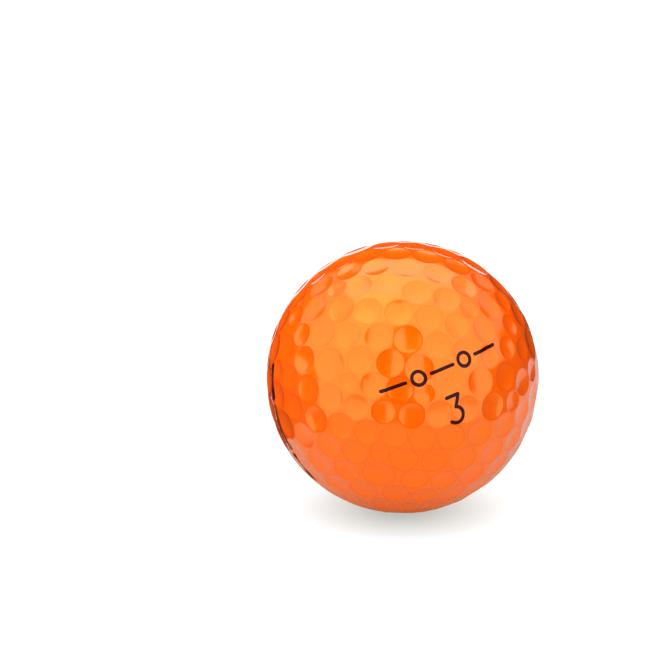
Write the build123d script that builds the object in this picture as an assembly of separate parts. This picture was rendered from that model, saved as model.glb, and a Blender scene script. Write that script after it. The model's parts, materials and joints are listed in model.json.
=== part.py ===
from build123d import *

import os
from math import asin, atan2, cos, degrees, radians, sin, sqrt

import numpy as np

# A two-piece golf ball: a solid rubber core, a dimpled cover moulded over it, and printed ink marks.
# Millimetres, +Z up. The origin is the centre of the ball, which rests on the plane z = -BALL_RADIUS.

# Ball
BALL_DIAMETER = 42.7
COVER_THICKNESS = 1.5  # under the land between the dimples
INK_THICKNESS = 0.04
BALL_RADIUS = BALL_DIAMETER / 2
CORE_RADIUS = BALL_RADIUS - COVER_THICKNESS

# Dimples. The pattern has the turning symmetry of a tetrahedron: each place below stands for twelve,
# and one more dimple sits on each of the four corners.
RIM_ANGLE = 14.5  # degrees, between a dimple's wall and the ball's surface at the rim
CORNER_DIMPLE = 3.7  # diameter
DIMPLE_PLACES = {  # diameter: (longitude, latitude) in degrees, in the pattern's own axes
    5.2: [(7, 45)],
    4.5: [(-12, 51), (-1, 72), (81, 8), (121, 84), (115, 31)],
    4.4: [(52, -7), (-21, 63), (31, 65), (13, 21), (3, 30), (17, 34)],
    4.3: [(5, 59), (25, 53), (46, 55), (134, 71), (72, -1), (124, 51)],
    4.1: [(111, 62), (31, 34), (60, 34)],
    3.6: [(-23, 41), (-38, 39)],
    3.2: [(133, 61), (45, 17)],
}
MIN_LAND = 0.16  # the narrowest land that is left between two rims
SPREAD_STEPS = 200
SPREAD_SHARE = 0.35  # of a missing land width, given back at each step
HOLD_SHARE = 0.03  # of the way back to its first place, taken at each step
CUTTER_RISE = 0.04  # how far a dimple's cutter follows its curve past the rim
CUTTER_LID = 0.1  # how far a dimple's cutter stands above the ball

# How the ball lies: the pattern's yaw, pitch and roll, and where the front print faces (degrees)
PATTERN_TURN = (30, -20, 30.5)
PRINT_AZIMUTH = -70.4
PRINT_ELEVATION = 9.8
PRINT_TILT = 17.4  # from the horizontal to the print's reading direction

# Printed marks, drawn flat on the plane that touches the ball at the print's centre
STROKE = 0.55
NUMBER_HEIGHT = 4.8
NUMBER_WIDTH = 2.5
NUMBER_BELOW = 3.75  # from the pole down to the number's centre
BOWL_RADIUS = 1.25  # at the middle of the stroke
BOWL_START = 75
BOWL_TURN = -215
MARK_ABOVE = 2.8  # from the pole up to the mark's centre line
BAR_LENGTH = 4.2
RING_DIAMETER = 2.6
MARK_GAP = 0.5
SIDE_DASH = (5.6, 1.0)  # length, width
SIDE_LINE = (7.6, 0.35)
SIDE_LINE_SPACING = 0.65
SIDE_GAP = 0.6
PRINT_REACH = 36  # degrees from a print's centre within which its ink can meet a dimple

CORNERS = np.array([(1, 1, 1), (1, -1, -1), (-1, 1, -1), (-1, -1, 1)])


def direction(azimuth, elevation):
    """The unit vector at an azimuth and an elevation in degrees."""
    azimuth, elevation = radians(azimuth), radians(elevation)
    return np.array([cos(azimuth) * cos(elevation), sin(azimuth) * cos(elevation), sin(elevation)])


def turned_copies(places):
    """Each place's twelve equal places under the turning symmetry of a tetrahedron."""
    rolled = [np.roll(places, shift, axis=1) for shift in range(3)]
    return np.concatenate([places * signs for places in rolled for signs in CORNERS])


def spread(places, radii):
    """Push the places apart along the sphere until every two rims leave MIN_LAND between them."""
    corners = CORNERS / sqrt(3)
    all_radii = np.concatenate([np.tile(radii, 12), np.full(4, CORNER_DIMPLE / 2)]) / BALL_RADIUS
    wanted = radii[:, None] / BALL_RADIUS + all_radii + MIN_LAND / BALL_RADIUS
    first = places
    for _ in range(SPREAD_STEPS):
        others = np.concatenate([turned_copies(places), corners])
        away = places[:, None] - others
        distance = np.linalg.norm(away, axis=2)
        missing = np.clip(wanted - 2 * np.arcsin(distance / 2), 0, None) / np.maximum(distance, 1e-9)
        missing[distance < 1e-6] = 0  # a place does not push itself
        places = places + SPREAD_SHARE * (away * missing[..., None]).sum(axis=1)
        places = places + HOLD_SHARE * (first - places)
        places = places / np.linalg.norm(places, axis=1)[:, None]
    return places


def pattern_matrix():
    """The turn from the pattern's own axes to the ball as it lies."""
    yaw, pitch, roll = (radians(angle) for angle in PATTERN_TURN)
    about_z = np.array([(cos(yaw), -sin(yaw), 0), (sin(yaw), cos(yaw), 0), (0, 0, 1)])
    about_y = np.array([(cos(pitch), 0, sin(pitch)), (0, 1, 0), (-sin(pitch), 0, cos(pitch))])
    about_x = np.array([(1, 0, 0), (0, cos(roll), -sin(roll)), (0, sin(roll), cos(roll))])
    return about_z @ about_y @ about_x


def dimple_layout():
    """Every dimple as its direction from the ball's centre and its diameter."""
    rows = [(place, size) for size, places in DIMPLE_PLACES.items() for place in places]
    places = np.array([direction(*place) for place, _ in rows])
    sizes = np.array([size for _, size in rows])
    places = turned_copies(spread(places, sizes / 2))
    places = np.concatenate([places, CORNERS / sqrt(3)]) @ pattern_matrix().T
    sizes = np.concatenate([np.tile(sizes, 12), np.full(4, CORNER_DIMPLE)])
    return list(zip(places, sizes))


def dimple_sphere(size):
    """A dimple's own sphere, as its radius and the distance of its centre from the ball's centre."""
    rim = size / 2
    ball_angle = asin(rim / BALL_RADIUS)
    wall_angle = radians(RIM_ANGLE) - ball_angle
    radius = rim / sin(wall_angle)
    return radius, BALL_RADIUS * cos(ball_angle) + radius * cos(wall_angle)


def dimple_cutter(size, ink=0):
    """The lens that a dimple removes, standing on the +Z side of the ball, less the ink that lines it."""
    radius, centre = dimple_sphere(size)
    radius -= ink
    lip_height = sqrt(BALL_RADIUS**2 - (size / 2) ** 2) + ink + CUTTER_RISE
    lip = (sqrt(radius**2 - (centre - lip_height) ** 2), 0, lip_height)
    half_angle = asin(lip[0] / radius) / 2
    bottom = (0, 0, centre - radius)
    halfway = (radius * sin(half_angle), 0, centre - radius * cos(half_angle))
    lid = BALL_RADIUS + CUTTER_LID
    outline = [
        ThreePointArc(bottom, halfway, lip),
        Line(lip, (lip[0], 0, lid)),
        Line((lip[0], 0, lid), (0, 0, lid)),
        Line((0, 0, lid), bottom),
    ]
    return revolve(make_face(outline), Axis.Z)


def placed_cutters(layout, ink=0):
    """A cutter for each dimple of the layout, where it belongs."""
    cutters = {size: dimple_cutter(size, ink) for size in {size for _, size in layout}}
    return [Plane((0, 0, 0), z_dir=tuple(place)).location * cutters[size] for place, size in layout]


def stroke(start, end, width=STROKE):
    """A straight pen stroke with round ends."""
    run = (end[0] - start[0], end[1] - start[1])
    middle = Pos((start[0] + end[0]) / 2, (start[1] + end[1]) / 2)
    angle = degrees(atan2(run[1], run[0]))
    return middle * SlotCenterToCenter(sqrt(run[0] ** 2 + run[1] ** 2), width, rotation=angle)


def play_number():
    """The figure 3: a flat top, a slanted stroke and a round bowl."""
    right = (NUMBER_WIDTH - STROKE) / 2
    top = (NUMBER_HEIGHT - STROKE) / 2
    centre = (right - BOWL_RADIUS, BOWL_RADIUS - top)
    start = (
        centre[0] + BOWL_RADIUS * cos(radians(BOWL_START)),
        centre[1] + BOWL_RADIUS * sin(radians(BOWL_START)),
    )
    bowl = SlotArc(CenterArc((*centre, 0), BOWL_RADIUS, BOWL_START, BOWL_TURN), STROKE)
    figure = stroke((-right, top), (right, top)) + stroke((right, top), start) + bowl
    return Pos(0, -NUMBER_BELOW) * figure


def pole_mark():
    """A plain row of bar, ring, bar, ring, bar."""
    pitch = BAR_LENGTH + RING_DIAMETER + 2 * MARK_GAP
    half = (BAR_LENGTH - STROKE) / 2
    bars = [Pos(x, MARK_ABOVE) * stroke((-half, 0), (half, 0)) for x in (-pitch, 0, pitch)]
    ring = Circle(RING_DIAMETER / 2) - Circle(RING_DIAMETER / 2 - STROKE)
    rings = [Pos(x, MARK_ABOVE) * ring for x in (-pitch / 2, pitch / 2)]
    return Sketch() + bars + rings


def side_mark():
    """A plain alignment line: a dash, two thin lines side by side, and a dash."""
    dash_centre = (SIDE_LINE[0] + SIDE_DASH[0]) / 2 + SIDE_GAP
    dash = SlotOverall(*SIDE_DASH)
    line = SlotOverall(*SIDE_LINE)
    dashes = [Pos(x, 0) * dash for x in (-dash_centre, dash_centre)]
    lines = [Pos(0, y) * line for y in (-SIDE_LINE_SPACING / 2, SIDE_LINE_SPACING / 2)]
    return Sketch() + dashes + lines


def printed(flat_mark, facing, reading, ball, layout):
    """A flat mark as an ink film on the dimpled surface, where it faces one way and reads another."""
    plane = Plane((0, 0, 0), x_dir=tuple(reading), z_dir=tuple(facing))
    prism = extrude(plane * flat_mark, amount=BALL_DIAMETER)
    film = prism & Sphere(BALL_RADIUS + INK_THICKNESS)
    near = [row for row in layout if row[0] @ facing > cos(radians(PRINT_REACH))]
    return film - placed_cutters(near, INK_THICKNESS) - ball


def main():
    layout = dimple_layout()
    ball = Sphere(BALL_RADIUS) - placed_cutters(layout)
    core = Sphere(CORE_RADIUS)

    pole = direction(PRINT_AZIMUTH, PRINT_ELEVATION)
    level = direction(PRINT_AZIMUTH + 90, 0)
    upright = np.cross(pole, level)
    reading = level * cos(radians(PRINT_TILT)) + upright * sin(radians(PRINT_TILT))
    above = np.cross(pole, reading)

    nodes = {
        "core": core,
        "cover": ball - core,
        "play_number_front": printed(play_number(), pole, reading, ball, layout),
        "play_number_back": printed(play_number(), -pole, -reading, ball, layout),
        "pole_mark_front": printed(pole_mark(), pole, reading, ball, layout),
        "pole_mark_back": printed(pole_mark(), -pole, -reading, ball, layout),
        "side_mark_left": printed(side_mark(), -reading, above, ball, layout),
        "side_mark_right": printed(side_mark(), reading, above, ball, layout),
    }
    os.makedirs("parts", exist_ok=True)
    for name, shape in nodes.items():
        export_step(shape, f"parts/{name}.step")


main()
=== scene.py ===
"""Looks of a two-piece golf ball: a pearl orange dimpled cover, printed ink and a rubber core."""
import json
from math import cos, pi, radians, sin, sqrt

import bpy
import numpy as np
from mathutils import Matrix, Vector


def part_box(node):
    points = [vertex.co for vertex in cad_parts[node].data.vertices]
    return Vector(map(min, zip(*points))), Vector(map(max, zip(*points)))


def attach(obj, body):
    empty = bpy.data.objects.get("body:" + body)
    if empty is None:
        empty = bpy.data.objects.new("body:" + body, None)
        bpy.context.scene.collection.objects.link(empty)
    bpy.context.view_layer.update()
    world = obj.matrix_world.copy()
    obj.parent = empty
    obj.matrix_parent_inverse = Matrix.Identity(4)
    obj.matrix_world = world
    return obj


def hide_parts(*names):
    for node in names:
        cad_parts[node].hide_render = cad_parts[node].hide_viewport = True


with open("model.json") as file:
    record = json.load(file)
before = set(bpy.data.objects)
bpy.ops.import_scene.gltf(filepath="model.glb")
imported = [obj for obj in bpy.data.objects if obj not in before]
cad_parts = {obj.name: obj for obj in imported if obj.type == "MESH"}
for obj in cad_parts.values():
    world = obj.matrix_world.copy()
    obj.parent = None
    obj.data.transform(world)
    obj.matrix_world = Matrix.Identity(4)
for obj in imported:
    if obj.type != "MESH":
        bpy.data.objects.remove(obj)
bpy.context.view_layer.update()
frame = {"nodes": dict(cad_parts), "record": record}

MM = 0.001  # metres
TINY = 1e-9  # keeps a division or a comparison clear of rounding

# The ball. Lengths are in millimetres, and angles in degrees, unless a comment says otherwise.
SEAT = next(mount for mount in frame["record"]["mounts"] if mount["name"] == "tee_seat")
BALL_RADIUS = -SEAT["pos_m"][2] / MM
CORE_RADIUS = (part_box("core")[1][2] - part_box("core")[0][2]) / MM / 2

# Dimples: the same pattern as the CAD cover's. Each place stands for twelve under the turning symmetry
# of a tetrahedron, and one more dimple sits on each of its four corners.
RIM_ANGLE = 14.5  # between a dimple's wall and the ball's surface at the rim
CORNER_DIMPLE = 3.7  # diameter
DIMPLE_PLACES = {  # diameter: (longitude, latitude) in the pattern's own axes
    5.2: [(7, 45)],
    4.5: [(-12, 51), (-1, 72), (81, 8), (121, 84), (115, 31)],
    4.4: [(52, -7), (-21, 63), (31, 65), (13, 21), (3, 30), (17, 34)],
    4.3: [(5, 59), (25, 53), (46, 55), (134, 71), (72, -1), (124, 51)],
    4.1: [(111, 62), (31, 34), (60, 34)],
    3.6: [(-23, 41), (-38, 39)],
    3.2: [(133, 61), (45, 17)],
}
MIN_LAND = 0.16  # the narrowest land between two rims
SPREAD_STEPS = 200
SPREAD_SHARE = 0.35  # of a missing land width, given back at each step
HOLD_SHARE = 0.03  # of the way back to its first place, taken at each step
SAME_PLACE = 1e-6  # a place nearer than this, in ball radii, is the place itself
PATTERN_TURN = (30, -20, 30.5)  # yaw, pitch and roll of the pattern as the ball lies
CORNERS = np.array([(1, 1, 1), (1, -1, -1), (-1, 1, -1), (-1, -1, 1)])

# Cover mesh
RIM_BLEND = 0.04  # depth over which a rim is rounded, about 0.3 mm across
RIM_MARGIN = 1.5  # further than this outside its rim a dimple doesn't shape the surface
SLOPE_STEP = 1e-5  # radians, over which the surface's slope is measured
BATCH = 8192  # directions worked on at once, to save memory
BORDER_STEP = 0.52  # between mesh points on the border of two dimples
NEIGHBOUR_ANGLE = 26  # further apart than the centres of any two neighbours
FLAT_TRIO = 1e-7  # three directions with a smaller determinant than this lie in one plane
CORNER_DIGITS = 6  # decimals to which two corners have to agree to be one
INNER_RINGS = (0.4, 0.7, 0.88)  # share of a dimple's radius
RIM_STEP = 0.09  # between the mesh rings on a rounded rim, or a third of the land where that is less
RIM_SHADE_INSET = 0.06  # the painted shade line on a dimple's edge runs this far inside the rim
RIM_SHADE_WIDTH = 0.13  # from the line's middle to where it has faded to about a third

# Prints, drawn flat on the plane that touches the ball at a print's centre, as in CAD
PRINT_AZIMUTH = -70.4
PRINT_ELEVATION = 9.8
PRINT_TILT = 17.4  # from the horizontal to the reading direction
STROKE = 0.55
NUMBER_HEIGHT = 4.8
NUMBER_WIDTH = 2.5
NUMBER_BELOW = 3.75  # from the pole down to the number's centre
BOWL_RADIUS = 1.25  # at the middle of the stroke
BOWL_START = 75
BOWL_TURN = -215
MARK_ABOVE = 2.8  # from the pole up to the mark's centre line
BAR_LENGTH = 4.2
RING_DIAMETER = 2.6
MARK_GAP = 0.5
SIDE_DASH = (5.6, 1.0)  # length, width
SIDE_LINE = (7.6, 0.35)
SIDE_LINE_SPACING = 0.65
SIDE_GAP = 0.6
INK_STEP = 0.07  # mesh spacing in a print
INK_RISE = 0.02  # of the film's outside above the cover
INK_SINK = 0.02  # of its inside below the cover's surface
NUMBER_REACH = 7  # half the side of the square that a number is cut from
MARK_REACH = 11  # and of the one for a mark
PROBE = 1e-4  # over which an outline's direction is measured
FIT_PASSES = 3  # to bring a print's points onto its outline, and onto the ball

# Materials: linear colours, and texture scales in repeats per metre
PEARL_COLOURS = [(0.98, 0.074, 0.0003), (1.0, 0.135, 0.0008)]
FLAKE_SCALE = 5500
CLOUD_SCALE = 260
CLOUD_DETAIL = 4
FLAKE_SHARE = 0.5  # of the colour's wander; the clouds have the rest
# painted shade: the darker colour on the dimple rims, in place of the shade that gathers there
RIM_SHADE_COLOUR = (0.93, 0.08, 0.0, 1)
PEARL_FINISH = {
    "Roughness": 0.2,
    "IOR": 2.0,
    "Specular Tint": (1.0, 1.0, 0.05, 1),
    "Coat Weight": 1.0,
    "Coat Roughness": 0.06,
    "Coat IOR": 1.42,
}
INK_COLOURS = [(0.02, 0.004, 0.005), (0.035, 0.007, 0.008)]
INK_SCALE = 900
INK_FINISH = {
    "Roughness": 0.5,
    "Specular IOR Level": 0.0,
    "Coat Weight": 0.3,
    "Coat Roughness": 0.03,
    "Coat IOR": 1.45,
}
RUBBER_COLOURS = [(0.04, 0.09, 0.16), (0.07, 0.14, 0.23)]
RUBBER_SCALE = 1200
RUBBER_FINISH = {"Roughness": 0.7}
GROUND_FINISH = {"Roughness": 0.9, "Specular IOR Level": 0.0, "Emission Strength": 1.0}

# Camera: distances in metres, the lens in millimetres
CAMERA_ELEVATION = 14.2
CAMERA_DISTANCE = 0.622
CAMERA_LENS = 218
CAMERA_ACROSS = 0.01179  # the ball stands this far right of the view's middle
CAMERA_BELOW = 0.00772  # and this far below it

# Studio, in metres: the ball lies in a white box tent with a slit for the camera, which looks along +Y
TENT_HEIGHT = 0.7
TENT_HALF = 0.5  # half its width
TENT_FRONT = -0.45
TENT_BOTTOM = -0.4
CEILING_BACK = 0.63
SLIT = (-0.095, 0.08)  # left and right edges of the gap in the front wall
LOW_SLIT = (-0.16, 0.13)  # and of its wider foot, below the ball's middle
SIDE_BACK = -0.145  # the side walls go down past the floor as far back as this, and rise in steps behind
REAR_STEPS = [  # front, back, bottom and radiance of each
    (-0.145, 0.1, 0.08, 0.9),
    (0.1, 0.38, 0.2, 0.55),
    (0.38, 0.9, 0.36, 0.33),
]
WALL_RADIANCE = (0.9, 1.3)  # at the bottom and at the top
CEILING_RADIANCE = 1.2
KEY_RADIANCE = 0.33  # added at the middle of the ceiling
KEY_MIDDLE = (0.46, 0.52)  # of the ceiling's own width and depth
KEY_REACH = 0.42  # in the same shares, where it has faded out
LAMP = dict(azimuth=-75, elevation=72, distance=1.2, size=0.6, radiance=16.0)  # azimuth from the camera
BACKDROP = dict(distance=1.2, left=-0.35, right=0.25, low=-0.45, high=0.15, radiance=1.1)
FLOOR_SIZE = 12

# The ground: the floor that the camera sees, and cards just above it that only the ball mirrors. Their
# outlines are in millimetres. Each list of colours or glows has a distance from the ball, as a share of
# GROUND_REACH, and the linear colour there. Both are painted light: on the floor they paint the ball's
# contact shadow and cancel the orange light it throws there, and on the cards they paint the floor, its
# shadow and that orange light as the ball's reflection.
GROUND_REACH = 0.4
GROUND_STRETCH = 1.3  # the shadow is this much longer towards the camera than across
FLOOR_BOUNCE_COOLING_COLOURS = [(0.012, (0.31, 0.4, 0.4)), (0.09, (0.4, 0.4, 0.4))]  # painted: cooler by the ball, to cancel the orange light that the ball throws on the floor
# painted shadow: the floor glows least by the ball and more further off, which shapes the contact shadow
# and keeps the far floor white
FLOOR_SHADOW_AND_WHITE_GLOWS = [(0.012, (0.06, 0.06, 0.06)), (0.055, (0.42, 0.42, 0.42)), (1.0, (0.8, 0.8, 0.8))]
CARD_LIFT = 0.02  # millimetres
CARD_OUTLINE = [(-60, -63), (60, -63), (60, 6), (14, 34), (-20, 30), (-42, -10)]
BACK_CARD_OUTLINE = [(60, 6), (130, 6), (130, 130), (14, 130), (14, 34)]
# painted shade: the cards darken under the ball, where the shadowless lamp would light them
CARD_SHADE_COLOURS = [(0.012, (0.02, 0.005, 0.002)), (0.045, (0.1, 0.1, 0.1))]
# painted reflection: orange under the ball for the light it throws on the floor, grey further off
CARD_REFLECTION_GLOWS = [(0.0, (0.42, 0.09, 0.02)), (0.04, (0.34, 0.16, 0.08)), (0.1, (0.27, 0.28, 0.24))]
# painted reflection of the floor behind the ball, dimmer close to it
BACK_CARD_REFLECTION_GLOWS = [(0.0, (0.25, 0.25, 0.25)), (0.15, (0.38, 0.38, 0.38))]
WORLD_COLOUR = (0.01, 0.01, 0.01, 1)


# Directions

def direction(azimuth, elevation):
    """The unit vector at an azimuth and an elevation."""
    azimuth, elevation = radians(azimuth), radians(elevation)
    return np.array([cos(azimuth) * cos(elevation), sin(azimuth) * cos(elevation), sin(elevation)])


def unit(vectors):
    """The same vectors, each of length 1."""
    return vectors / np.linalg.norm(vectors, axis=-1, keepdims=True)


# Dimple pattern

def turned_copies(places):
    """Each place's twelve equal places under the turning symmetry of a tetrahedron."""
    rolled = [np.roll(places, shift, axis=1) for shift in range(3)]
    return np.concatenate([places * signs for places in rolled for signs in CORNERS])


def spread(places, radii):
    """Push the places apart along the sphere until every two rims leave MIN_LAND between them."""
    corners = CORNERS / sqrt(3)
    all_radii = np.concatenate([np.tile(radii, 12), np.full(4, CORNER_DIMPLE / 2)]) / BALL_RADIUS
    wanted = radii[:, None] / BALL_RADIUS + all_radii + MIN_LAND / BALL_RADIUS
    first = places
    for _ in range(SPREAD_STEPS):
        others = np.concatenate([turned_copies(places), corners])
        away = places[:, None] - others
        distance = np.linalg.norm(away, axis=2)
        missing = np.clip(wanted - 2 * np.arcsin(distance / 2), 0, None) / np.maximum(distance, TINY)
        missing[distance < SAME_PLACE] = 0  # a place does not push itself
        places = places + SPREAD_SHARE * (away * missing[..., None]).sum(axis=1)
        places = unit(places + HOLD_SHARE * (first - places))
    return places


def dimple_layout():
    """Every dimple's direction from the ball's centre, and its diameter."""
    rows = [(place, size) for size, places in DIMPLE_PLACES.items() for place in places]
    places = np.array([direction(*place) for place, _ in rows])
    sizes = np.array([size for _, size in rows])
    yaw, pitch, roll = (radians(angle) for angle in PATTERN_TURN)
    turn = Matrix.Rotation(yaw, 3, "Z") @ Matrix.Rotation(pitch, 3, "Y") @ Matrix.Rotation(roll, 3, "X")
    places = turned_copies(spread(places, sizes / 2))
    places = np.concatenate([places, CORNERS / sqrt(3)]) @ np.array(turn).T
    return places, np.concatenate([np.tile(sizes, 12), np.full(4, CORNER_DIMPLE)])


PLACES, SIZES = dimple_layout()
RIMS = np.arcsin(SIZES / 2 / BALL_RADIUS)  # each dimple's angular radius, in radians
WALL_ANGLES = radians(RIM_ANGLE) - RIMS
DENT_RADII = SIZES / 2 / np.sin(WALL_ANGLES)
DENT_CENTRES = BALL_RADIUS * np.cos(RIMS) + DENT_RADII * np.cos(WALL_ANGLES)


# Dimpled surface

def depth(angle, k):
    """How far dimple k lowers the surface at an angle from its centre (radians), with its rim rounded."""
    offside = DENT_CENTRES[k] * np.sin(angle)
    dent = DENT_CENTRES[k] * np.cos(angle) - np.sqrt(DENT_RADII[k] ** 2 - offside**2)
    blend = np.clip(1 - np.abs(BALL_RADIUS - dent) / RIM_BLEND, 0, None)
    return BALL_RADIUS - np.minimum(BALL_RADIUS, dent) + blend**2 * RIM_BLEND / 4


def surface(directions):
    """The dimpled surface's points and normals along these directions from the centre."""
    radii = np.full(len(directions), BALL_RADIUS)
    slopes = np.zeros_like(directions)
    reach = np.cos(RIMS + radians(RIM_MARGIN))
    for start in range(0, len(directions), BATCH):
        part = directions[start : start + BATCH]
        cosines = part @ PLACES.T
        point, k = np.nonzero(cosines > reach)
        angle = np.arccos(np.clip(cosines[point, k], -1, 1))
        slope = (depth(angle + SLOPE_STEP, k) - depth(angle - SLOPE_STEP, k)) / (2 * SLOPE_STEP)
        outward = part[point] * np.cos(angle)[:, None] - PLACES[k]
        outward /= np.maximum(np.sin(angle), TINY)[:, None]
        np.subtract.at(radii, start + point, depth(angle, k))
        np.add.at(slopes, start + point, slope[:, None] * outward)
    points = directions * radii[:, None]
    return points, unit(points + slopes)


# Cover

def make_object(name, vertices, faces, normals=None):
    """A smooth mesh object from points in millimetres, with the surface's own normals if given."""
    mesh = bpy.data.meshes.new(name)
    mesh.from_pydata((np.asarray(vertices) * MM).tolist(), [], faces)
    mesh.shade_smooth()
    if normals is not None:
        mesh.normals_split_custom_set_from_vertices(np.asarray(normals).tolist())
    obj = bpy.data.objects.new(name, mesh)
    bpy.context.collection.objects.link(obj)
    return obj


def cell_corners():
    """Where three dimples' cells meet: the corner directions, and each cell's corner numbers in turn."""
    heights = np.cos(RIMS)
    numbers = {}
    corners = []
    cells = [set() for _ in PLACES]
    for i, place in enumerate(PLACES):
        near = np.nonzero(PLACES @ place > cos(radians(NEIGHBOUR_ANGLE)))[0]
        near = near[near > i]
        first, second = np.triu_indices(len(near), 1)
        trios = np.stack([np.full(len(first), i), near[first], near[second]], axis=1)
        trios = trios[np.abs(np.linalg.det(PLACES[trios])) > FLAT_TRIO]
        points = np.linalg.solve(PLACES[trios], heights[trios][..., None])[..., 0]
        inside = (points @ PLACES.T <= heights + TINY).all(axis=1)
        for trio, point in zip(trios[inside], unit(points[inside])):
            number = numbers.setdefault(tuple(np.round(point, CORNER_DIGITS)), len(corners))
            if number == len(corners):
                corners.append(point)
            for k in trio:
                cells[k].add(number)
    corners = np.array(corners)
    ordered = []
    for place, cell in zip(PLACES, cells):
        cell = np.array(sorted(cell))
        side = unit(np.cross(place, corners[cell[0]]))
        ahead = np.cross(side, place)
        angles = np.arctan2(corners[cell] @ side, corners[cell] @ ahead)
        ordered.append(cell[np.argsort(angles)].tolist())
    return corners, ordered


def cell_loops():
    """The cells' borders: their mesh points, and each cell's points in turn. Neighbours share points."""
    corners, cells = cell_corners()
    directions = list(corners)
    borders = {}
    loops = []
    for cell in cells:
        loop = []
        for start, end in zip(cell, cell[1:] + cell[:1]):
            low, high = min(start, end), max(start, end)
            if (low, high) not in borders:
                gap = corners[high] - corners[low]
                count = max(1, round(float(np.linalg.norm(gap)) * BALL_RADIUS / BORDER_STEP))
                first = len(directions)
                directions += [unit(corners[low] + gap * step / count) for step in range(1, count)]
                borders[low, high] = list(range(first, len(directions)))
            between = borders[low, high]
            loop += [start] + (between if start == low else between[::-1])
        loops.append(loop)
    return np.array(directions), loops


def web(border, loops, ring_angles):
    """Fill every cell with rings and spokes: all directions, the border's first, and the faces.

    ring_angles gives a cell's rings, from the cell's number and the angles from its centre to its border.
    """
    directions = list(border)
    faces = []
    for k, loop in enumerate(loops):
        centre = PLACES[k]
        edge = border[loop]
        spokes = unit(edge - (edge @ centre)[:, None] * centre)
        middle = len(directions)
        directions.append(centre)
        rings = []
        for angle in ring_angles(k, np.arccos(edge @ centre)):
            first = len(directions)
            directions.extend(centre * np.cos(angle)[:, None] + spokes * np.sin(angle)[:, None])
            rings.append(list(range(first, first + len(loop))))
        rings.append(loop)
        following = list(range(1, len(loop))) + [0]
        faces += [(middle, rings[0][a], rings[0][b]) for a, b in enumerate(following)]
        for inner, outer in zip(rings, rings[1:]):
            faces += [(inner[a], outer[a], outer[b], inner[b]) for a, b in enumerate(following)]
    return np.array(directions), faces


def dimple_rings(k, reach):
    """Angles of dimple k's rings: few inside it, close together on its rim, and two on the land."""
    rim = RIMS[k]
    step = RIM_STEP / BALL_RADIUS
    land = np.maximum(reach - rim, 0)
    inside = [rim * share for share in INNER_RINGS] + [rim - 2 * step, rim - step, rim]
    angles = [np.full(len(reach), angle) for angle in inside]
    return angles + [rim + np.minimum(step, land / 3), rim + np.minimum(2 * step, land * 2 / 3)]


def wall_rings(k, reach):
    """The one ring that a cell of the cover's plain inner wall has."""
    return [reach / 2]


def painted_rim_shade(directions):
    """How much of the painted shade line on the dimple rims lies at each of these directions, 0 to 1."""
    shade = np.zeros(len(directions))
    for start in range(0, len(directions), BATCH):
        part = directions[start : start + BATCH]
        angles = np.arccos(np.clip(part @ PLACES.T, -1, 1))
        off = (angles - RIMS) * BALL_RADIUS + RIM_SHADE_INSET
        shade[start : start + BATCH] = np.exp(-((off / RIM_SHADE_WIDTH) ** 2)).max(axis=1)
    return shade


def make_cover():
    """The cover as a closed shell: the dimpled outside, and a plain inner wall that faces the core."""
    border, loops = cell_loops()
    directions, faces = web(border, loops, dimple_rings)
    points, normals = surface(directions)
    wall, wall_faces = web(border, loops, wall_rings)
    faces += [tuple(number + len(points) for number in reversed(face)) for face in wall_faces]
    vertices = np.concatenate([points, wall * CORE_RADIUS])
    cover = make_object("cover_dimpled", vertices, faces, np.concatenate([normals, -wall]))
    # painted shade along the dimple rims, kept in the edge attribute
    shade = np.concatenate([painted_rim_shade(directions), np.zeros(len(wall))])
    edge = cover.data.attributes.new("edge", "FLOAT", "POINT")
    edge.data.foreach_set("value", shade.astype(np.float32))
    return cover


# Prints

def segment_distance(points, start, end):
    """The distance to a straight line from start to end."""
    run = np.subtract(end, start)
    along = np.clip((points - start) @ run / (run @ run), 0, 1)
    return np.linalg.norm(points - start - along[:, None] * run, axis=1)


def arc_distance(points, centre, radius, start, turn):
    """The distance to an arc that starts at an angle and turns clockwise."""
    away = points - centre
    angles = np.degrees(np.arctan2(away[:, 1], away[:, 0]))
    on_arc = (start - angles) % 360 <= -turn
    distance = np.abs(np.linalg.norm(away, axis=1) - radius)
    ends = [radius * np.array([cos(radians(a)), sin(radians(a))]) for a in (start, start + turn)]
    to_ends = np.minimum(*(np.linalg.norm(away - end, axis=1) for end in ends))
    return np.where(on_arc, distance, to_ends)


def play_number(points):
    """Signed distance to the outline of the figure 3, below zero on the ink."""
    points = points + (0, NUMBER_BELOW)
    right = (NUMBER_WIDTH - STROKE) / 2
    top = (NUMBER_HEIGHT - STROKE) / 2
    centre = np.array([right - BOWL_RADIUS, BOWL_RADIUS - top])
    start = centre + BOWL_RADIUS * np.array([cos(radians(BOWL_START)), sin(radians(BOWL_START))])
    strokes = [
        segment_distance(points, (-right, top), (right, top)),
        segment_distance(points, (right, top), start),
        arc_distance(points, centre, BOWL_RADIUS, BOWL_START, BOWL_TURN),
    ]
    return np.min(strokes, axis=0) - STROKE / 2


def pole_mark(points):
    """Signed distance to the outline of a plain row of bar, ring, bar, ring, bar."""
    pitch = BAR_LENGTH + RING_DIAMETER + 2 * MARK_GAP
    bar_half = (BAR_LENGTH - STROKE) / 2
    strokes = [
        segment_distance(points, (x - bar_half, MARK_ABOVE), (x + bar_half, MARK_ABOVE))
        for x in (-pitch, 0, pitch)
    ]
    ring_radius = (RING_DIAMETER - STROKE) / 2
    for x in (-pitch / 2, pitch / 2):
        strokes.append(np.abs(np.linalg.norm(points - (x, MARK_ABOVE), axis=1) - ring_radius))
    return np.min(strokes, axis=0) - STROKE / 2


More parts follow.
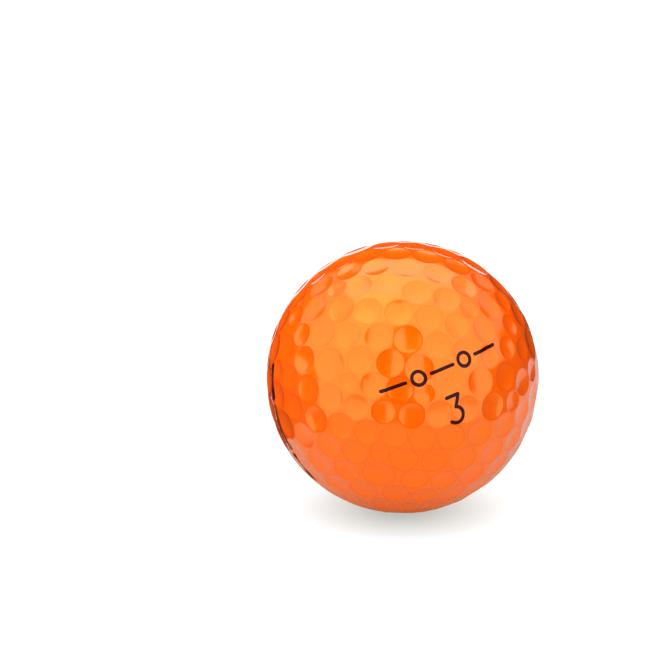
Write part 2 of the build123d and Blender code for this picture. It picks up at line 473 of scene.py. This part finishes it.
def side_mark(points):
    """Signed distance to the outline of a dash, two thin lines side by side, and a dash."""
    dash_length, dash_width = SIDE_DASH
    line_length, line_width = SIDE_LINE
    dash_centre = (line_length + dash_length) / 2 + SIDE_GAP
    dash_half = (dash_length - dash_width) / 2
    line_half = (line_length - line_width) / 2
    parts = [
        segment_distance(points, (x - dash_half, 0), (x + dash_half, 0)) - dash_width / 2
        for x in (-dash_centre, dash_centre)
    ]
    parts += [
        segment_distance(points, (-line_half, y), (line_half, y)) - line_width / 2
        for y in (-SIDE_LINE_SPACING / 2, SIDE_LINE_SPACING / 2)
    ]
    return np.min(parts, axis=0)


def print_grid(shape, reach):
    """A flat mesh of a print: the squares whose middle is inked, fitted to its outline, and its edges."""
    count = round(2 * reach / INK_STEP)
    ticks = np.linspace(-reach, reach, count + 1)
    x, y = np.meshgrid(ticks, ticks, indexing="ij")
    grid = np.stack([x.ravel(), y.ravel()], axis=1)
    number = np.arange(len(grid)).reshape(count + 1, count + 1)
    squares = np.stack([number[:-1, :-1], number[1:, :-1], number[1:, 1:], number[:-1, 1:]], axis=-1)
    squares = squares.reshape(-1, 4)
    squares = squares[shape(grid[squares].mean(axis=1)) < 0]
    sides = np.concatenate([squares[:, [a, (a + 1) % 4]] for a in range(4)])
    twins = {tuple(side) for side in sides.tolist()}
    edge = [side for side in sides.tolist() if (side[1], side[0]) not in twins]
    used, squares = np.unique(squares, return_inverse=True)
    renumber = {old: new for new, old in enumerate(used.tolist())}
    edge = [(renumber[a], renumber[b]) for a, b in edge]
    flat = grid[used]
    outer = np.unique(np.array(edge))
    for _ in range(FIT_PASSES):
        here = flat[outer]
        slope = np.stack([
            shape(here + (PROBE, 0)) - shape(here - (PROBE, 0)),
            shape(here + (0, PROBE)) - shape(here - (0, PROBE)),
        ], axis=1) / (2 * PROBE)
        flat[outer] = here - shape(here)[:, None] * slope
    return flat, squares.reshape(-1, 4).tolist(), edge


def make_print(name, shape, reach, facing, reading):
    """A print as a thin closed film on the dimpled surface."""
    flat, squares, edge = print_grid(shape, reach)
    above = np.cross(facing, reading)
    across = flat[:, :1] * reading + flat[:, 1:] * above
    radius = np.full(len(flat), BALL_RADIUS)
    for _ in range(FIT_PASSES):
        height = np.sqrt(radius**2 - (flat**2).sum(axis=1))
        points, normals = surface(unit(across + height[:, None] * facing))
        radius = np.linalg.norm(points, axis=1)
    count = len(flat)
    vertices = np.concatenate([points + normals * INK_RISE, points - normals * INK_SINK])
    faces = [tuple(square) for square in squares]
    faces += [tuple(number + count for number in reversed(square)) for square in squares]
    faces += [(b, a, a + count, b + count) for a, b in edge]
    return make_object(name, vertices, faces, np.concatenate([normals, normals]))


# Materials

def new_material(name, finish):
    """A material, its nodes and links, and its shader with the finish's values on its sockets."""
    material = bpy.data.materials.new(name)
    material.use_nodes = True
    nodes = material.node_tree.nodes
    shader = nodes["Principled BSDF"]
    for socket, value in finish.items():
        shader.inputs[socket].default_value = value
    return material, nodes, material.node_tree.links, shader


def add_ramp(nodes, stops):
    """A colour ramp with these stops: a position and a colour each."""
    ramp = nodes.new("ShaderNodeValToRGB")
    elements = ramp.color_ramp.elements
    while len(elements) < len(stops):
        elements.new(1.0)
    for element, (position, colour) in zip(elements, stops):
        element.position = position
        element.color = (*colour, 1)
    return ramp


def add_texture(nodes, links, kind, scale):
    """A texture that is fixed to the object, with this many repeats per metre."""
    place = nodes.new("ShaderNodeTexCoord")
    texture = nodes.new(kind)
    texture.inputs["Scale"].default_value = scale
    links.new(place.outputs["Object"], texture.inputs["Vector"])
    return texture


def pearl_cover_material():
    """Glossy orange pearl under a clear coat: fine flakes, faint clouds and painted shade on the dimple
    edges.
    """
    material, nodes, links, shader = new_material("pearl_orange", PEARL_FINISH)
    flakes = add_texture(nodes, links, "ShaderNodeTexVoronoi", FLAKE_SCALE)
    clouds = add_texture(nodes, links, "ShaderNodeTexNoise", CLOUD_SCALE)
    clouds.inputs["Detail"].default_value = CLOUD_DETAIL
    cloud_part = nodes.new("ShaderNodeMath")
    cloud_part.operation = "MULTIPLY"
    cloud_part.inputs[1].default_value = 1 - FLAKE_SHARE
    wander = nodes.new("ShaderNodeMath")
    wander.operation = "MULTIPLY_ADD"
    wander.inputs[1].default_value = FLAKE_SHARE
    ramp = add_ramp(nodes, list(enumerate(PEARL_COLOURS)))
    # painted shade: the edge attribute tints the dimple rims darker
    edge = nodes.new("ShaderNodeAttribute")
    edge.attribute_name = "edge"
    rim_shade_mix = nodes.new("ShaderNodeMix")
    rim_shade_mix.data_type = "RGBA"
    rim_shade_mix.inputs["B"].default_value = RIM_SHADE_COLOUR
    links.new(clouds.outputs["Fac"], cloud_part.inputs[0])
    links.new(flakes.outputs["Color"], wander.inputs[0])
    links.new(cloud_part.outputs[0], wander.inputs[2])
    links.new(wander.outputs[0], ramp.inputs["Fac"])
    links.new(edge.outputs["Fac"], rim_shade_mix.inputs["Factor"])
    links.new(ramp.outputs["Color"], rim_shade_mix.inputs["A"])
    links.new(rim_shade_mix.outputs["Result"], shader.inputs["Base Color"])
    return material


def clouded_material(name, scale, colours, finish):
    """A plain material whose colour wanders between two colours."""
    material, nodes, links, shader = new_material(name, finish)
    noise = add_texture(nodes, links, "ShaderNodeTexNoise", scale)
    ramp = add_ramp(nodes, list(enumerate(colours)))
    links.new(noise.outputs["Fac"], ramp.inputs["Fac"])
    links.new(ramp.outputs["Color"], shader.inputs["Base Color"])
    return material


def ground_material(name, colours, painted_glows):
    """Matt, with a colour and a glow that change with the distance from the ball: painted shadow and light
    on the ground.
    """
    material, nodes, links, shader = new_material(name, GROUND_FINISH)
    place = nodes.new("ShaderNodeTexCoord")
    stretch = nodes.new("ShaderNodeVectorMath")
    stretch.operation = "MULTIPLY"
    stretch.inputs[1].default_value = (GROUND_STRETCH, 1, 0)
    away = nodes.new("ShaderNodeVectorMath")
    away.operation = "LENGTH"
    share = nodes.new("ShaderNodeMapRange")
    share.inputs["From Max"].default_value = GROUND_REACH
    links.new(place.outputs["Object"], stretch.inputs[0])
    links.new(stretch.outputs["Vector"], away.inputs[0])
    links.new(away.outputs["Value"], share.inputs["Value"])
    for socket, stops in (("Base Color", colours), ("Emission Color", painted_glows)):
        ramp = add_ramp(nodes, stops)
        links.new(share.outputs["Result"], ramp.inputs["Fac"])
        links.new(ramp.outputs["Color"], shader.inputs[socket])
    return material


# Studio

def make_ground(name, outline, height, colours, painted_glows):
    """A level piece of ground with this outline."""
    ground = make_object(name, [(x, y, height) for x, y in outline], [tuple(range(len(outline)))])
    ground.data.materials.append(ground_material(name, colours, painted_glows))
    return ground


def make_floor():
    """The floor that the camera sees, and the cards that the ball mirrors in its place as a painted
    reflection.
    """
    half = FLOOR_SIZE / MM / 2
    square = [(-half, -half), (half, -half), (half, half), (-half, half)]
    floor = make_ground("floor", square, -BALL_RADIUS, FLOOR_BOUNCE_COOLING_COLOURS, FLOOR_SHADOW_AND_WHITE_GLOWS)
    floor.visible_glossy = False
    for name, outline, painted_glows in (
        ("card", CARD_OUTLINE, CARD_REFLECTION_GLOWS),
        ("back_card", BACK_CARD_OUTLINE, BACK_CARD_REFLECTION_GLOWS),
    ):
        card = make_ground(name, outline, CARD_LIFT - BALL_RADIUS, CARD_SHADE_COLOURS, painted_glows)
        card.visible_camera = False
        card.visible_diffuse = False
        card.visible_shadow = False


def make_panel(name, middle, size, turn):
    """A rectangular light that the camera doesn't see, its nodes for its radiance, and their links."""
    light = bpy.data.lights.new(name, "AREA")
    light.shape = "RECTANGLE"
    light.size, light.size_y = size
    light.energy = pi * size[0] * size[1]
    light.use_nodes = True
    obj = bpy.data.objects.new(name, light)
    obj.location = middle
    obj.rotation_euler = turn
    obj.visible_camera = False
    bpy.context.collection.objects.link(obj)
    return obj, light.node_tree.nodes, light.node_tree.links


def make_wall(name, start, end, low, high, radiance):
    """An upright panel over the ground line from start to end, which shines to the line's left.

    radiance is its value at the bottom and at the top.
    """
    run = np.subtract(end, start)
    middle = (*(np.add(start, end) / 2), (low + high) / 2)
    size = (float(np.linalg.norm(run)), high - low)
    turn = (pi / 2, 0, float(np.arctan2(run[1], run[0])))
    _, nodes, links = make_panel(name, middle, size, turn)
    place = nodes.new("ShaderNodeNewGeometry")
    split = nodes.new("ShaderNodeSeparateXYZ")
    rise = nodes.new("ShaderNodeMapRange")
    rise.inputs["To Min"].default_value, rise.inputs["To Max"].default_value = radiance
    links.new(place.outputs["Parametric"], split.inputs[0])
    links.new(split.outputs["Y"], rise.inputs["Value"])
    links.new(rise.outputs["Result"], nodes["Emission"].inputs["Strength"])


def make_ceiling():
    """The tent's top, brightest around its middle."""
    size = (2 * TENT_HALF, CEILING_BACK - TENT_FRONT)
    middle = (0, (CEILING_BACK + TENT_FRONT) / 2, TENT_HEIGHT)
    _, nodes, links = make_panel("ceiling", middle, size, (0, 0, 0))
    place = nodes.new("ShaderNodeNewGeometry")
    away = nodes.new("ShaderNodeVectorMath")
    away.operation = "DISTANCE"
    away.inputs[1].default_value = (*KEY_MIDDLE, 0)
    fall = nodes.new("ShaderNodeMapRange")
    fall.interpolation_type = "SMOOTHSTEP"
    fall.inputs["From Max"].default_value = KEY_REACH
    fall.inputs["To Min"].default_value = CEILING_RADIANCE + KEY_RADIANCE
    fall.inputs["To Max"].default_value = CEILING_RADIANCE
    links.new(place.outputs["Parametric"], away.inputs[0])
    links.new(away.outputs["Value"], fall.inputs["Value"])
    links.new(fall.outputs["Result"], nodes["Emission"].inputs["Strength"])


def make_lamp(azimuth, elevation, distance, size, radiance):
    """A square light that lights the ball's body, casts no shadow and isn't mirrored in the ball."""
    towards = Vector(direction(azimuth - 90, elevation))
    turn = (-towards).to_track_quat("-Z", "Y").to_euler()
    obj, nodes, _ = make_panel("lamp", towards * distance, (size, size), turn)
    nodes["Emission"].inputs["Strength"].default_value = radiance
    obj.visible_glossy = False
    obj.data.use_shadow = False


def side_line(x, front, back):
    """The ground line of a side wall that faces inwards."""
    ends = ((x, front), (x, back))
    return ends if x > 0 else ends[::-1]


def make_tent():
    """The tent: a ceiling, a front wall with the camera's slit, side walls and a backdrop."""
    make_ceiling()
    fronts = (("low", LOW_SLIT, TENT_BOTTOM, 0), ("high", SLIT, 0, TENT_HEIGHT))
    for name, (left, right), low, high in fronts:
        radiance = np.interp((low, high), (TENT_BOTTOM, TENT_HEIGHT), WALL_RADIANCE).tolist()
        make_wall(f"front_left_{name}", (-TENT_HALF, TENT_FRONT), (left, TENT_FRONT), low, high, radiance)
        make_wall(f"front_right_{name}", (right, TENT_FRONT), (TENT_HALF, TENT_FRONT), low, high, radiance)
    for side, x in (("left", -TENT_HALF), ("right", TENT_HALF)):
        line = side_line(x, TENT_FRONT, SIDE_BACK)
        make_wall(f"side_{side}", *line, TENT_BOTTOM, TENT_HEIGHT, WALL_RADIANCE)
        for number, (front, back, low, radiance) in enumerate(REAR_STEPS):
            line = side_line(x, front, back)
            make_wall(f"rear_{side}_{number}", *line, low, TENT_HEIGHT, (radiance, radiance))
    ends = [(BACKDROP[edge], BACKDROP["distance"]) for edge in ("right", "left")]
    make_wall("backdrop", *ends, BACKDROP["low"], BACKDROP["high"], (BACKDROP["radiance"],) * 2)


def make_world():
    """The dim surroundings outside the tent."""
    world = bpy.data.worlds.new("studio")
    world.use_nodes = True
    world.node_tree.nodes["Background"].inputs["Color"].default_value = WORLD_COLOUR
    bpy.context.scene.world = world


def make_camera():
    """The camera: it looks down at the ball, which stands right of the view's middle and below it."""
    camera = bpy.data.cameras.new("camera")
    camera.lens = CAMERA_LENS
    obj = bpy.data.objects.new("camera", camera)
    towards = Vector(direction(-90, CAMERA_ELEVATION))
    right = Vector((1, 0, 0))
    up = towards.cross(right)
    obj.location = towards * CAMERA_DISTANCE
    aim = up * CAMERA_BELOW - right * CAMERA_ACROSS
    obj.rotation_euler = (aim - obj.location).to_track_quat("-Z", "Y").to_euler()
    bpy.context.collection.objects.link(obj)
    bpy.context.scene.camera = obj


# The model

def place_piece(obj, material, slot, *nodes):
    """Give a piece its material, hang it on the root body and hide the CAD nodes that it stands for."""
    obj.data.materials.append(material)
    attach(obj, "root")
    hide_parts(*nodes)


def main():
    """Build the pieces and the studio."""
    cover = make_cover()
    place_piece(cover, pearl_cover_material(), "cover_ionomer", "cover")

    pole = direction(PRINT_AZIMUTH, PRINT_ELEVATION)
    level = direction(PRINT_AZIMUTH + 90, 0)
    reading = level * cos(radians(PRINT_TILT)) + np.cross(pole, level) * sin(radians(PRINT_TILT))
    above = np.cross(pole, reading)
    ink = clouded_material("black_ink", INK_SCALE, INK_COLOURS, INK_FINISH)
    prints = {
        "play_number_front": (play_number, NUMBER_REACH, pole, reading),
        "play_number_back": (play_number, NUMBER_REACH, -pole, -reading),
        "pole_mark_front": (pole_mark, MARK_REACH, pole, reading),
        "pole_mark_back": (pole_mark, MARK_REACH, -pole, -reading),
        "side_mark_left": (side_mark, MARK_REACH, -reading, above),
        "side_mark_right": (side_mark, MARK_REACH, reading, above),
    }
    for node, placing in prints.items():
        place_piece(make_print(node + "_ink", *placing), ink, "print_ink", node)

    core = frame["nodes"]["core"]
    core.data.materials.clear()
    core.data.materials.append(clouded_material("core_rubber", RUBBER_SCALE, RUBBER_COLOURS, RUBBER_FINISH))

    make_floor()
    make_tent()
    make_lamp(**LAMP)
    make_world()
    make_camera()
    bpy.context.scene.view_settings.view_transform = "Standard"


main()
